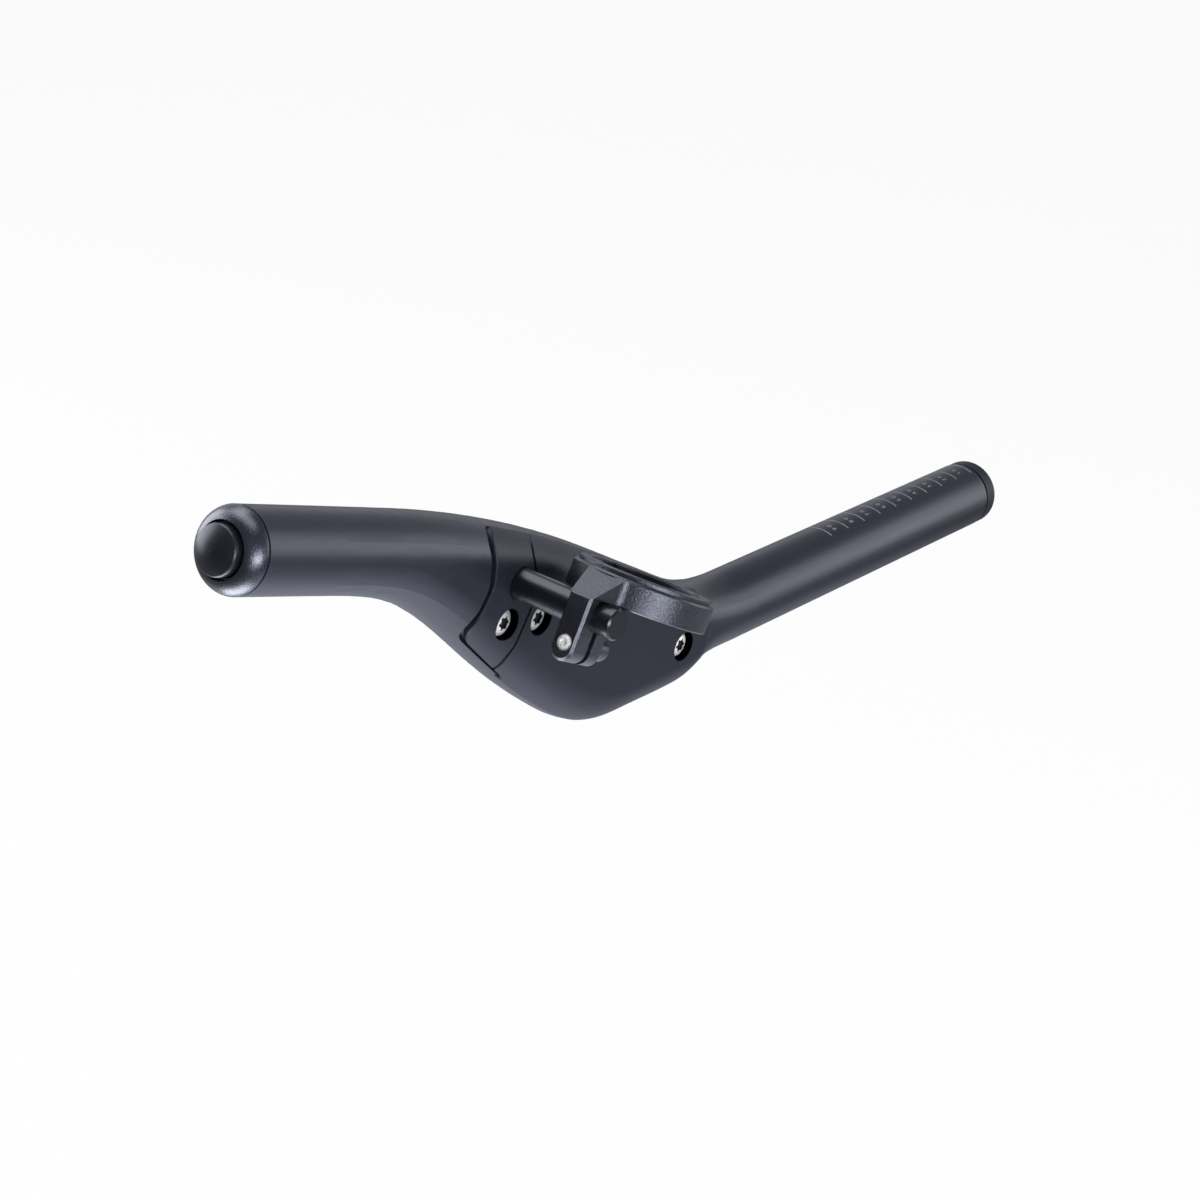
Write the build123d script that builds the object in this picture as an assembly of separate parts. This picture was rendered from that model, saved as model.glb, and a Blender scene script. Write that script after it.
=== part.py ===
from build123d import *
from math import atan2, cos, sin, tan, radians
import os

# Tube and bends, all in millimetres and degrees
TUBE_DIAMETER = 22.2
WALL = 1.6
REAR_STRAIGHT = 146.0
REAR_BEND_RADIUS = 95.0
RISER_ANGLE = 27.0
RISER_STRAIGHT = 45.0
FRONT_BEND_RADIUS = 450.0
FRONT_ANGLE = 15.5
FRONT_STRAIGHT = 55.0

# Pod under the bend: distance along the bar and how far the round underside drops there
POD_REAR = 146.0
POD_DROPS = [(150, 0.06), (154.5, 0.3), (159, 0.9), (163.5, 2.2), (168, 5.0), (172, 8.3), (177, 10.9), (184, 14.2),
             (193, 19.1), (204, 24.2), (217, 26.2), (233, 24.9), (251, 22.0), (270, 17.1), (288, 11.1), (304, 5.8),
             (317, 2.4), (327, 0.85), (335, 0.25), (342, 0.04)]
POD_FRONT = 348.0
POD_BLEND = 4.0

# Covers on the inner side of the pod
PARTING_Y = 4.2
COVER_PROUD = 0.2
COVER_LINER_GAP = 0.15
COVER_REAR_X = 170.3
COVER_FRONT_X = 278.2
COVER_WAIST_Z = 47.5
COVER_NOSE = (286.8, 34.6)
COVER_CORNER = 4.0
COVER_TOP_POINT = (272.6, 61.2)
COVER_TOP_SLOPE = 0.39
SEAM_X = 260.2
SEAM_KNEE_Z = 37.0
SEAM_LOW_X = 267.5
SEAM_LOW_Z = 24.0
SEAM_TAIL_X = 256.0
FRONT_GAP = 2.0
REAR_GAP = 0.15
SEAM_GAP = 1.0
COVER_ROUND = 0.5
NOSE_ROUND = 4.5
NOSE_CORNER = 9.0
SHELF_WIDTH = 3.0
SHELF_THICKNESS = 1.2

# Cover screws and their inserts
SCREW_PLACES = {"front": (270.8, 34.4), "upper": (255.7, 31.5), "rear": (182.3, 0.9)}
SCREW_RADIUS = 1.5
SCREW_LENGTH = 10.0
SCREW_HEAD_RADIUS = 3.8
SCREW_HEAD_HEIGHT = 1.9
SCREW_HEAD_SIDE = 0.7
SCREW_RECESS = 0.7
COUNTERBORE_RADIUS = 4.6
SCREW_CLEARANCE = 0.2
POST_RADIUS = 4.0
POST_TOP_Y = 5.0
BOSS_RADIUS = 5.8
INSERT_RADIUS = 2.3
INSERT_LENGTH = 6.0
THREAD_CLEARANCE = 0.05

# Rod and its bolt
ROD_X = 266.9
ROD_Z = 45.5
ROD_RADIUS = 4.5
ROD_END_Y = 44.0
ROD_SEAT_Y = 10.5
ROD_CHAMFER = 0.5
ROD_BOSS_RADIUS = 6.5
ROD_BOSS_Y = 6.6
ROD_BOLT_RADIUS = 2.0
ROD_BOLT_LENGTH = 16.0
ROD_BOLT_HEAD_RADIUS = 3.8
ROD_BOLT_HEAD_HEIGHT = 2.2

# Bracket, in its own tilted frame: u forward, n up, both from the rod's axis
BRACKET_TILT = 24.0
RUNNING_CLEARANCE = 0.04
RING_U = -20.8
RING_RADIUS = 20.0
RING_BOTTOM = 4.25
RING_WALL_TOP = 11.3
RING_STEP = 0.6
RING_BEVEL = 0.3
LIP_RADIUS = 18.7
LIP_HEIGHT = 1.3
LIP_GROOVE = 0.3
RING_BORE_RADIUS = 15.5
LEDGE_RADIUS = 11.8
LEDGE_THICKNESS = 1.2
ARM_Y = 34.5
ARM_WIDTH = 7.2
ARM_TAPER = 16.0
ARM_FRONT = 7.3
ARM_BEVEL = 0.7
ARM_FILLET = 3.0
FACET_BOTTOM = 3.9
FACET_U = -1.2
JAW_REAR = -6.3
JAW_BOTTOM = -14.0
SLIT_U = -0.4
SLIT_WIDTH = 2.0

# Pinch bolt and nut
PINCH_N = -9.0
PINCH_RADIUS = 1.25
PINCH_HEAD_RADIUS = 2.35
PINCH_HEAD_HEIGHT = 2.5
PINCH_HEAD_SIDE = 1.7
PINCH_SINK = 2.3
PINCH_HEAD_GAP = 0.2
PINCH_LENGTH = 16.0
NUT_RADIUS = 3.2
NUT_LENGTH = 5.4

# Quarter-turn socket in the ring
SOCKET_GAP = 0.1
SOCKET_TOP = 12.95
SOCKET_OPENING_RADIUS = 12.5
SOCKET_CAVITY_RADIUS = 14.2
SOCKET_FLANGE = 1.65
SOCKET_CAVITY_HEIGHT = 2.5
SOCKET_FLOOR_RADIUS = 9.0
SOCKET_NOTCH_ANGLE = 40.0
SOCKET_SCREW_CIRCLE = 13.6
SOCKET_SCREW_RADIUS = 0.8
SOCKET_SCREW_HEAD = 1.5
SOCKET_SCREW_LENGTH = 3.6
SOCKET_SCREW_ANGLES = {"left": 300, "right": 60, "rear": 180}

# Bar-end plug with its button, measured outwards from the end of the tube
SPIGOT_GAP = 0.1
SPIGOT_LENGTH = 16.0
COLLAR_LENGTH = 5.2
COLLAR_RIM_RADIUS = 7.35
COLLAR_BULGE = (9.7, 3.6)
COLLAR_GROOVE = (10.6, 0.35)
EDGE_BREAK = 0.25
BUTTON_RADIUS = 6.5
BUTTON_CLEARANCE = 0.08
BUTTON_SHOULDER = 2.5
BUTTON_GUIDE_TOP = 3.6
BUTTON_RIM = 6.6
BUTTON_TOP = 8.9
BUTTON_FLANGE_RADIUS = 6.9
BUTTON_FLANGE = 1.1
BUTTON_STEM_RADIUS = 1.6
CHAMBER_RADIUS = 7.05
PLUNGER_TOP = -2.0
PLUNGER_LENGTH = 2.9
PLUNGER_RADIUS = 1.75
PLUNGER_CLEARANCE = 0.1
SWITCH_SIZE = 6.0
SWITCH_HEIGHT = 2.6
BOARD_TOP = -6.0
BOARD_THICKNESS = 1.0
BOARD_RADIUS = 7.3
BOARD_CLEARANCE = 0.1
CLIP_THICKNESS = 0.3
CLIP_RIM = 0.5
CLIP_DEPTH = 2.4
CELL_RADIUS = 6.25
CELL_HEIGHT = 2.5
CELL_STEP = 0.3
BACK_CAP_FLANGE = 1.4
O_RING_SECTION = 0.68
O_RING_GAP = 0.05
O_RING_GROOVE = 1.6
O_RING_OUTER = 4.8
O_RING_INNER = 2.8

# Cap on the rear end of the tube
CAP_RADIUS = 11.0
CAP_GROOVE = (10.2, 0.8)
CAP_SIDE = 4.7
CAP_SHOULDER = (9.2, 7.4)
CAP_TOP = 8.0
CAP_HOLLOW_RADIUS = 7.0

R = TUBE_DIAMETER / 2
BORE = R - WALL
O_RING_PLACES = (-O_RING_OUTER, O_RING_INNER - SPIGOT_LENGTH)
FAR = 60.0
BASE = (Align.CENTER, Align.CENTER, Align.MIN)
REAR_BEND = REAR_BEND_RADIUS * radians(RISER_ANGLE)
FRONT_BEND = FRONT_BEND_RADIUS * radians(RISER_ANGLE - FRONT_ANGLE)
LENGTH = REAR_STRAIGHT + REAR_BEND + RISER_STRAIGHT + FRONT_BEND + FRONT_STRAIGHT


def bar_point(s):
    """Place and slope of the bar's centreline at distance s from the rear end."""
    a1 = radians(RISER_ANGLE)
    a2 = radians(FRONT_ANGLE)
    if s <= REAR_STRAIGHT:
        return s, 0.0, 0.0
    s -= REAR_STRAIGHT
    if s <= REAR_BEND:
        a = s / REAR_BEND_RADIUS
        return REAR_STRAIGHT + REAR_BEND_RADIUS * sin(a), REAR_BEND_RADIUS * (1 - cos(a)), a
    x = REAR_STRAIGHT + REAR_BEND_RADIUS * sin(a1)
    z = REAR_BEND_RADIUS * (1 - cos(a1))
    s -= REAR_BEND
    if s <= RISER_STRAIGHT:
        return x + s * cos(a1), z + s * sin(a1), a1
    x += RISER_STRAIGHT * cos(a1)
    z += RISER_STRAIGHT * sin(a1)
    s -= RISER_STRAIGHT
    a = max(a1 - s / FRONT_BEND_RADIUS, a2)
    x += FRONT_BEND_RADIUS * (sin(a1) - sin(a))
    z += FRONT_BEND_RADIUS * (cos(a) - cos(a1))
    rest = max(s - FRONT_BEND, 0.0)
    return x + rest * cos(a2), z + rest * sin(a2), a


def bar_plane(s):
    """Plane across the bar at distance s, looking along it."""
    x, z, a = bar_point(s)
    return Plane(origin=(x, 0, z), x_dir=(0, 1, 0), z_dir=(cos(a), 0, sin(a)))


def arc(r, drop, start, end):
    points = [(r * cos(radians(t)), r * sin(radians(t)) - drop) for t in (start, (start + end) / 2, end)]
    return ThreePointArc(*points)


def section(s, drop, inset):
    """Cross-section of the bar: a circle, or a circle pulled down by drop, always in eight edges."""
    r = R - inset
    if drop == 0:
        cuts = [30, 150, 178, 182, 210, 330, 358, 362, 390]
        edges = [arc(r, 0, a, b) for a, b in zip(cuts[:-1], cuts[1:])]
    else:
        edges = [arc(r, 0, 30, 150), arc(r, 0, 150, 180), Line((-r, 0), (-r, -drop))]
        edges += [arc(r, drop, a, b) for a, b in ((180, 210), (210, 330), (330, 360))]
        edges += [Line((r, -drop), (r, 0)), arc(r, 0, 0, 30)]
    return bar_plane(s) * Face(Wire(edges))


def bar(inset):
    """The whole bar with its pod, every surface moved inwards by inset."""
    stations = [(POD_REAR - POD_BLEND, 0), (POD_REAR, 0)] + POD_DROPS
    stations += [(POD_FRONT, 0), (POD_FRONT + POD_BLEND, 0)]
    pod = loft([section(s, drop, inset) for s, drop in stations])
    rear = bar_plane(0) * Cylinder(R - inset, stations[0][0], align=BASE)
    front = bar_plane(stations[-1][0]) * Cylinder(R - inset, LENGTH - stations[-1][0], align=BASE)
    return rear + pod + front


def rounded(points):
    """Flat face in the side view from corners given as x, z and corner radius."""
    face = Polygon(*[(x, z) for x, z, r in points], align=None)
    for x, z, r in points:
        if r:
            corner = face.vertices().sort_by_distance((x, z, 0))[0]
            face = fillet(corner, r)
    return face


def prism(face, start, end):
    """Side-view face drawn out along Y."""
    return extrude(Pos(0, start, 0) * Rot(90, 0, 0) * face, end - start, dir=(0, 1, 0))


def top_line(x):
    return COVER_TOP_POINT[1] + COVER_TOP_SLOPE * (x - COVER_TOP_POINT[0])


def pod_outline(front, rear):
    """Outline of both covers together, grown by front and rear."""
    x0 = COVER_REAR_X - rear
    x1 = COVER_FRONT_X + front
    nose_x = COVER_NOSE[0] + front
    nose_z = COVER_NOSE[1]
    return rounded([(x0, -FAR, 0), (x0, top_line(x0), 0), (x1, top_line(x1), COVER_CORNER),
                    (x1, COVER_WAIST_Z, 2 * COVER_CORNER), (nose_x, nose_z, NOSE_CORNER),
                    (nose_x - 25, nose_z - 23, 0), (nose_x - 50, -FAR, 0)])


def pod_opening(front, rear):
    """Space of both covers above the parting plane, with a round nose."""
    space = prism(pod_outline(front, rear), PARTING_Y, FAR)
    block = Box(2 * LENGTH, 4 * FAR, 4 * FAR, align=(Align.CENTER, Align.CENTER, Align.MAX))
    low = space & Pos(0, 0, COVER_WAIST_Z) * block
    floor = low.faces().sort_by(Axis.Y)[0].edges().sort_by(Axis.X)
    return space - low + fillet(floor[-1], NOSE_ROUND)


def rear_outline(grow):
    """Outline of the rear cover, its front edge moved forward by grow."""
    x0 = COVER_REAR_X - FAR
    x1 = SEAM_X + grow
    x2 = SEAM_LOW_X + grow
    return rounded([(x0, -FAR, 0), (x0, top_line(x0), 0), (x1, top_line(x1), COVER_CORNER),
                    (x1, SEAM_KNEE_Z, 2 * COVER_CORNER), (x2, SEAM_LOW_Z, 2 * COVER_CORNER), (x2, -FAR, 0)])


def side_plane(x, z, y):
    """Plane that faces the inner side, for things that point along Y."""
    return Plane(origin=(x, y, z), x_dir=(1, 0, 0), z_dir=(0, 1, 0))


def pin(plane, radius, start, end):
    """Cylinder along a plane's normal."""
    return plane * Pos(0, 0, start) * Cylinder(radius, end - start, align=BASE)


def turned(plane, *edges):
    """Body turned about a plane's normal from edges in radius and height."""
    return plane * revolve(Plane.XZ * make_face(Curve() + list(edges)), Axis.Z)


def dome(radius, start, top):
    """Part of a sphere's outline from radius and start up to the axis at top."""
    height = top - start
    sphere = (radius ** 2 + height ** 2) / (2 * height)
    middle = atan2(radius, sphere - height) / 2
    return ThreePointArc((radius, start), (sphere * sin(middle), top - sphere * (1 - cos(middle))), (0, top))


def domed_head(plane, radius, side, height):
    """Screw head with a straight side and a domed top."""
    return turned(plane, Polyline((0, height), (0, 0), (radius, 0), (radius, side)), dome(radius, side, height))


def groove_points(height):
    floor = BORE - O_RING_GAP - 2 * O_RING_SECTION
    half = O_RING_GROOVE / 2
    spigot = BORE - SPIGOT_GAP
    return [(spigot, height - half), (floor, height - half), (floor, height + half), (spigot, height + half)]


def o_ring(plane, height):
    major = BORE - O_RING_GAP - O_RING_SECTION
    return plane * Pos(0, 0, height) * Torus(major, O_RING_SECTION)


def lobes(plane, radius, depth):
    """Six-lobe socket, cut downwards from the plane."""
    star = Circle(0.8 * radius) + PolarLocations(0.78 * radius, 6) * Circle(0.24 * radius)
    return extrude(plane * star, -depth)


def hexagon(plane, across, depth):
    return extrude(plane * RegularPolygon(across / 2, 6, major_radius=False), -depth)


def make_body():
    inside = bar(WALL)
    body = bar(0) - inside
    body -= pod_opening(FRONT_GAP, REAR_GAP)
    band = prism(pod_outline(SHELF_WIDTH, SHELF_WIDTH), PARTING_Y - SHELF_WIDTH, FAR)
    band -= prism(pod_outline(-SHELF_WIDTH, -SHELF_WIDTH), PARTING_Y + SHELF_WIDTH, FAR)
    for x, z in SCREW_PLACES.values():
        band -= pin(side_plane(x, z, 0), BOSS_RADIUS + SCREW_CLEARANCE, -FAR, FAR)
    band -= pin(side_plane(ROD_X, ROD_Z, 0), ROD_BOSS_RADIUS + SCREW_CLEARANCE, -FAR, FAR)
    body += (inside - bar(WALL + SHELF_THICKNESS)) & band
    core = bar(WALL / 2)
    for x, z in SCREW_PLACES.values():
        post = pin(side_plane(x, z, 0), POST_RADIUS, -FAR, POST_TOP_Y)
        body += post & core
    for x, z in SCREW_PLACES.values():
        plane = side_plane(x, z, POST_TOP_Y)
        body -= pin(plane, INSERT_RADIUS + THREAD_CLEARANCE, -INSERT_LENGTH, 0)
        body -= pin(plane, SCREW_RADIUS + SCREW_CLEARANCE, -INSERT_LENGTH - 3, 0)
    return body


def screw_seat():
    return R - SCREW_RECESS - SCREW_HEAD_HEIGHT


def round_rim(cover):
    """Rounds the outer edge of the front cover along the gap to the body."""
    plain = bar(0).solid()
    outer = [edge for edge in cover.edges() if not plain.is_inside(edge @ 0.5)]
    middles = [(edge, edge @ 0.5) for edge in outer]
    rim = [edge for edge, m in middles if m.X > COVER_FRONT_X - COVER_CORNER and m.Y > EDGE_BREAK]
    return fillet(rim, COVER_ROUND)


def make_covers():
    skin = bar(-COVER_PROUD)
    core = bar(WALL / 2)
    shell = skin - bar(WALL - COVER_LINER_GAP)
    whole = pod_opening(0, 0)
    rear_zone = prism(rear_outline(0), PARTING_Y, FAR)
    front_zone = prism(rear_outline(SEAM_GAP), 0, FAR)
    tail = Pos(SEAM_TAIL_X, 0, 0) * Box(FAR, FAR, 4 * FAR, align=(Align.MAX, Align.CENTER, Align.CENTER))
    rear = shell & whole & rear_zone
    strip = shell & prism(pod_outline(0, 0), 0, FAR)
    front = round_rim(strip - front_zone - tail) & whole
    rod_plane = side_plane(ROD_X, ROD_Z, 0)
    front += pin(rod_plane, ROD_BOSS_RADIUS, ROD_BOSS_Y, FAR) & core
    front -= pin(rod_plane, ROD_RADIUS + SCREW_CLEARANCE, ROD_SEAT_Y, FAR)
    front -= pin(rod_plane, ROD_BOLT_RADIUS + SCREW_CLEARANCE, 0, FAR)
    for name, (x, z) in SCREW_PLACES.items():
        plane = side_plane(x, z, 0)
        boss = pin(plane, BOSS_RADIUS, POST_TOP_Y, FAR) & core
        hole = pin(plane, COUNTERBORE_RADIUS, screw_seat(), FAR)
        hole += pin(plane, SCREW_RADIUS + SCREW_CLEARANCE, 0, FAR)
        if name == "front":
            front = front + boss - hole
        else:
            rear = rear + boss - hole
    return front, rear


def make_cover_screw(x, z):
    plane = side_plane(x, z, screw_seat())
    screw = domed_head(plane, SCREW_HEAD_RADIUS, SCREW_HEAD_SIDE, SCREW_HEAD_HEIGHT)
    screw += pin(plane, SCREW_RADIUS, -SCREW_LENGTH, 0)
    return screw - lobes(plane.offset(SCREW_HEAD_HEIGHT), 0.55 * SCREW_HEAD_RADIUS, 0.6 * SCREW_HEAD_HEIGHT)


def make_insert(x, z):
    plane = side_plane(x, z, POST_TOP_Y)
    insert = pin(plane, INSERT_RADIUS, -INSERT_LENGTH, 0)
    waist = pin(plane, FAR, -0.6 * INSERT_LENGTH, -0.4 * INSERT_LENGTH)
    insert -= waist - pin(plane, 0.88 * INSERT_RADIUS, -INSERT_LENGTH, 0)
    return insert - pin(plane, SCREW_RADIUS + THREAD_CLEARANCE, -INSERT_LENGTH, 0)


def make_rod():
    length = ROD_END_Y - ROD_SEAT_Y
    rod = Cylinder(ROD_RADIUS, length, align=BASE)
    rod = chamfer(rod.edges().sort_by(Axis.Z)[-1], ROD_CHAMFER)
    depth = ROD_BOLT_LENGTH - (ROD_SEAT_Y - ROD_BOSS_Y) + 1
    rod -= Cylinder(ROD_BOLT_RADIUS + THREAD_CLEARANCE, depth, align=BASE)
    return side_plane(ROD_X, ROD_Z, ROD_SEAT_Y) * rod


def make_rod_bolt():
    plane = side_plane(ROD_X, ROD_Z, ROD_BOSS_Y)
    bolt = pin(plane, ROD_BOLT_HEAD_RADIUS, -ROD_BOLT_HEAD_HEIGHT, 0)
    bolt += pin(plane, ROD_BOLT_RADIUS, 0, ROD_BOLT_LENGTH)
    return bolt - hexagon(plane, ROD_BOLT_RADIUS * 1.5, ROD_BOLT_HEAD_HEIGHT) + pin(
        plane, ROD_BOLT_RADIUS, -0.4 * ROD_BOLT_HEAD_HEIGHT, 0)


def bracket_plane():
    a = radians(BRACKET_TILT)
    return Plane(origin=(ROD_X, 0, ROD_Z), x_dir=(cos(a), 0, sin(a)), z_dir=(-sin(a), 0, cos(a)))


def ring_plane():
    plane = bracket_plane()
    return Plane(origin=plane.from_local_coords((RING_U, ARM_Y, 0)), x_dir=plane.x_dir, z_dir=plane.z_dir)


def pinch_plane():
    plane = bracket_plane()
    return Plane(origin=plane.from_local_coords((0, ARM_Y, PINCH_N)), x_dir=(0, 1, 0), z_dir=plane.x_dir)


def make_bracket():
    plane = bracket_plane()
    ring = ring_plane()
    half = ARM_WIDTH / 2
    root = half + (ARM_FRONT - RING_U) * tan(radians(ARM_TAPER))
    arm = Polygon((ARM_FRONT, -half), (ARM_FRONT, half), (RING_U, root), (RING_U, -root), align=None)
    plan = Pos(RING_U, ARM_Y) * Circle(RING_RADIUS) + Pos(0, ARM_Y) * arm
    plan = chamfer(plan.vertices().sort_by(Axis.X)[-2:], ARM_BEVEL)
    plan = fillet(plan.vertices().sort_by(Axis.X)[-6:-4], ARM_FILLET)
    bracket = extrude(Pos(0, 0, RING_BOTTOM) * plan, RING_WALL_TOP - RING_BOTTOM)
    bracket = chamfer(bracket.faces().sort_by(Axis.Z)[0].edges().sort_by(Axis.X)[0], RING_BEVEL)
    facet = Polygon((ARM_FRONT, FACET_BOTTOM), (ARM_FRONT + 9, FACET_BOTTOM), (ARM_FRONT + 9, RING_WALL_TOP + 1),
                    (FACET_U, RING_WALL_TOP + 1), (FACET_U, RING_WALL_TOP), align=None)
    facet = prism(facet, 0, FAR)
    jaw_top = RING_BOTTOM + RING_BEVEL
    jaw = Polygon((ARM_Y - half, jaw_top), (ARM_Y - half, JAW_BOTTOM), (ARM_Y + half, JAW_BOTTOM),
                  (ARM_Y + half, jaw_top), align=None)
    jaw = fillet(jaw.vertices().sort_by(Axis.Y)[:2], half - 0.01)
    jaw = extrude(Plane.YZ * jaw, ARM_FRONT - JAW_REAR, dir=(1, 0, 0))
    jaw = Pos(JAW_REAR, 0, 0) * jaw
    front_edges = jaw.faces().sort_by(Axis.X)[-1].edges().sort_by(Axis.Z)[:-1]
    jaw = chamfer(front_edges, ARM_BEVEL)
    bracket = bracket + jaw - facet
    bracket -= Pos(0, ARM_Y, 0) * Rot(90, 0, 0) * Cylinder(ROD_RADIUS + RUNNING_CLEARANCE, FAR)
    bracket -= Pos(SLIT_U, ARM_Y, 0) * Box(SLIT_WIDTH, FAR, FAR, align=(Align.CENTER, Align.CENTER, Align.MAX))
    bracket = plane * bracket
    step_top = RING_WALL_TOP + RING_STEP
    top = Polyline((LEDGE_RADIUS, RING_WALL_TOP), (RING_RADIUS, RING_WALL_TOP), (RING_RADIUS - RING_STEP, step_top),
                   (LIP_RADIUS - LIP_GROOVE, step_top), (LIP_RADIUS - LIP_GROOVE, step_top + LIP_GROOVE),
                   (LIP_RADIUS, step_top + LIP_GROOVE), (LIP_RADIUS, step_top + LIP_HEIGHT - EDGE_BREAK),
                   (LIP_RADIUS - EDGE_BREAK, step_top + LIP_HEIGHT), (LEDGE_RADIUS, step_top + LIP_HEIGHT),
                   (LEDGE_RADIUS, RING_WALL_TOP))
    bracket += turned(ring, top)
    bracket -= pin(ring, RING_BORE_RADIUS, RING_BOTTOM + LEDGE_THICKNESS, FAR)
    bracket -= pin(ring, LEDGE_RADIUS, 0, FAR)
    for angle in SOCKET_SCREW_ANGLES.values():
        place = socket_screw_plane(angle)
        bracket -= pin(place, SOCKET_SCREW_RADIUS + SCREW_CLEARANCE, 0, LEDGE_THICKNESS)
        bracket -= place * Cone(SOCKET_SCREW_HEAD + THREAD_CLEARANCE, SOCKET_SCREW_RADIUS + THREAD_CLEARANCE,
                                SOCKET_SCREW_HEAD - SOCKET_SCREW_RADIUS, align=BASE)
    bolt = pinch_plane()
    bracket -= pin(bolt, PINCH_HEAD_RADIUS + PINCH_HEAD_GAP, ARM_FRONT - PINCH_SINK, ARM_FRONT)
    bracket -= pin(bolt, PINCH_RADIUS + THREAD_CLEARANCE, JAW_REAR, ARM_FRONT)
    return bracket


def socket_screw_plane(angle):
    ring = ring_plane()
    x = SOCKET_SCREW_CIRCLE * cos(radians(angle))
    y = SOCKET_SCREW_CIRCLE * sin(radians(angle))
    return Plane(origin=ring.from_local_coords((x, y, RING_BOTTOM)), x_dir=ring.x_dir, z_dir=ring.z_dir)


def make_socket_screw(angle):
    place = socket_screw_plane(angle)
    screw = place * Cone(SOCKET_SCREW_HEAD, SOCKET_SCREW_RADIUS, SOCKET_SCREW_HEAD - SOCKET_SCREW_RADIUS, align=BASE)
    screw += pin(place, SOCKET_SCREW_RADIUS, 0, SOCKET_SCREW_LENGTH)
    return screw - place * Box(0.35, 1.6 * SOCKET_SCREW_HEAD, 0.4, align=BASE)


def make_socket():
    ring = ring_plane()
    seat = RING_BOTTOM + LEDGE_THICKNESS
    flange = SOCKET_TOP - SOCKET_FLANGE
    socket = pin(ring, RING_BORE_RADIUS - SOCKET_GAP, seat, SOCKET_TOP)
    socket -= pin(ring, SOCKET_OPENING_RADIUS, flange, FAR)
    socket -= pin(ring, SOCKET_CAVITY_RADIUS, flange - SOCKET_CAVITY_HEIGHT, flange)
    socket -= pin(ring, SOCKET_FLOOR_RADIUS, 0, FAR)
    half = SOCKET_CAVITY_RADIUS * sin(radians(SOCKET_NOTCH_ANGLE / 2))
    slot = ring * Pos(0, 0, flange) * Box(2 * half, FAR, SOCKET_FLANGE, align=BASE)
    socket -= slot & pin(ring, SOCKET_CAVITY_RADIUS, flange, SOCKET_TOP)
    for angle in SOCKET_SCREW_ANGLES.values():
        place = socket_screw_plane(angle)
        socket -= pin(place, SOCKET_SCREW_RADIUS + THREAD_CLEARANCE, 0, SOCKET_SCREW_LENGTH + 0.3)
    return socket


def make_pinch_bolt():
    plane = pinch_plane()
    seat = ARM_FRONT - PINCH_SINK
    bolt = domed_head(plane.offset(seat), PINCH_HEAD_RADIUS, PINCH_HEAD_SIDE, PINCH_HEAD_HEIGHT)
    bolt += pin(plane, PINCH_RADIUS, seat - PINCH_LENGTH, seat)
    return bolt - hexagon(plane.offset(seat + PINCH_HEAD_HEIGHT), 0.9 * PINCH_HEAD_RADIUS, 0.36 * PINCH_HEAD_HEIGHT)


def make_pinch_nut():
    plane = pinch_plane()
    nut = Cylinder(NUT_RADIUS, NUT_LENGTH, align=BASE)
    nut = fillet(nut.edges().sort_by(Axis.Z)[0], 0.3 * NUT_RADIUS)
    nut = plane * Pos(0, 0, JAW_REAR - NUT_LENGTH) * nut
    return nut - pin(plane, PINCH_RADIUS + THREAD_CLEARANCE, JAW_REAR - NUT_LENGTH, JAW_REAR)


def make_plug(plane):
    spigot = BORE - SPIGOT_GAP
    guide = BUTTON_RADIUS + BUTTON_CLEARANCE
    board = BOARD_RADIUS + BOARD_CLEARANCE
    skirt = [(board, -SPIGOT_LENGTH), (spigot, -SPIGOT_LENGTH)]
    for height in reversed(O_RING_PLACES):
        skirt += groove_points(height)
    neck, rise = COLLAR_GROOVE
    foot = (R, rise + EDGE_BREAK)
    skirt += [(spigot, 0), (neck, 0), (neck, rise), (R - EDGE_BREAK, rise), foot]
    bulge = ThreePointArc(foot, COLLAR_BULGE, (COLLAR_RIM_RADIUS, COLLAR_LENGTH))
    inside = [(COLLAR_RIM_RADIUS, COLLAR_LENGTH), (guide + 0.3, BUTTON_GUIDE_TOP), (guide, BUTTON_GUIDE_TOP),
              (guide, BUTTON_SHOULDER), (CHAMBER_RADIUS, BUTTON_SHOULDER), (CHAMBER_RADIUS, BOARD_TOP),
              (board, BOARD_TOP), (board, -SPIGOT_LENGTH)]
    return turned(plane, Polyline(*skirt), bulge, Polyline(*inside))


def make_button(plane):
    back = BUTTON_SHOULDER - BUTTON_FLANGE
    side = Polyline((0, BUTTON_TOP), (0, PLUNGER_TOP), (BUTTON_STEM_RADIUS, PLUNGER_TOP), (BUTTON_STEM_RADIUS, back),
                    (BUTTON_FLANGE_RADIUS, back), (BUTTON_FLANGE_RADIUS, BUTTON_SHOULDER),
                    (BUTTON_RADIUS, BUTTON_SHOULDER), (BUTTON_RADIUS, BUTTON_RIM))
    shoulder = (0.9 * BUTTON_RADIUS, BUTTON_RIM + 0.8)
    rim = ThreePointArc((BUTTON_RADIUS, BUTTON_RIM), (0.968 * BUTTON_RADIUS, BUTTON_RIM + 0.5), shoulder)
    return turned(plane, side, rim, dome(*shoulder, BUTTON_TOP))


def make_switch(plane):
    switch = plane * Pos(0, 0, BOARD_TOP) * Box(SWITCH_SIZE, SWITCH_SIZE, SWITCH_HEIGHT, align=BASE)
    return switch - pin(plane, PLUNGER_RADIUS + PLUNGER_CLEARANCE, BOARD_TOP, 0)


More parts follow.
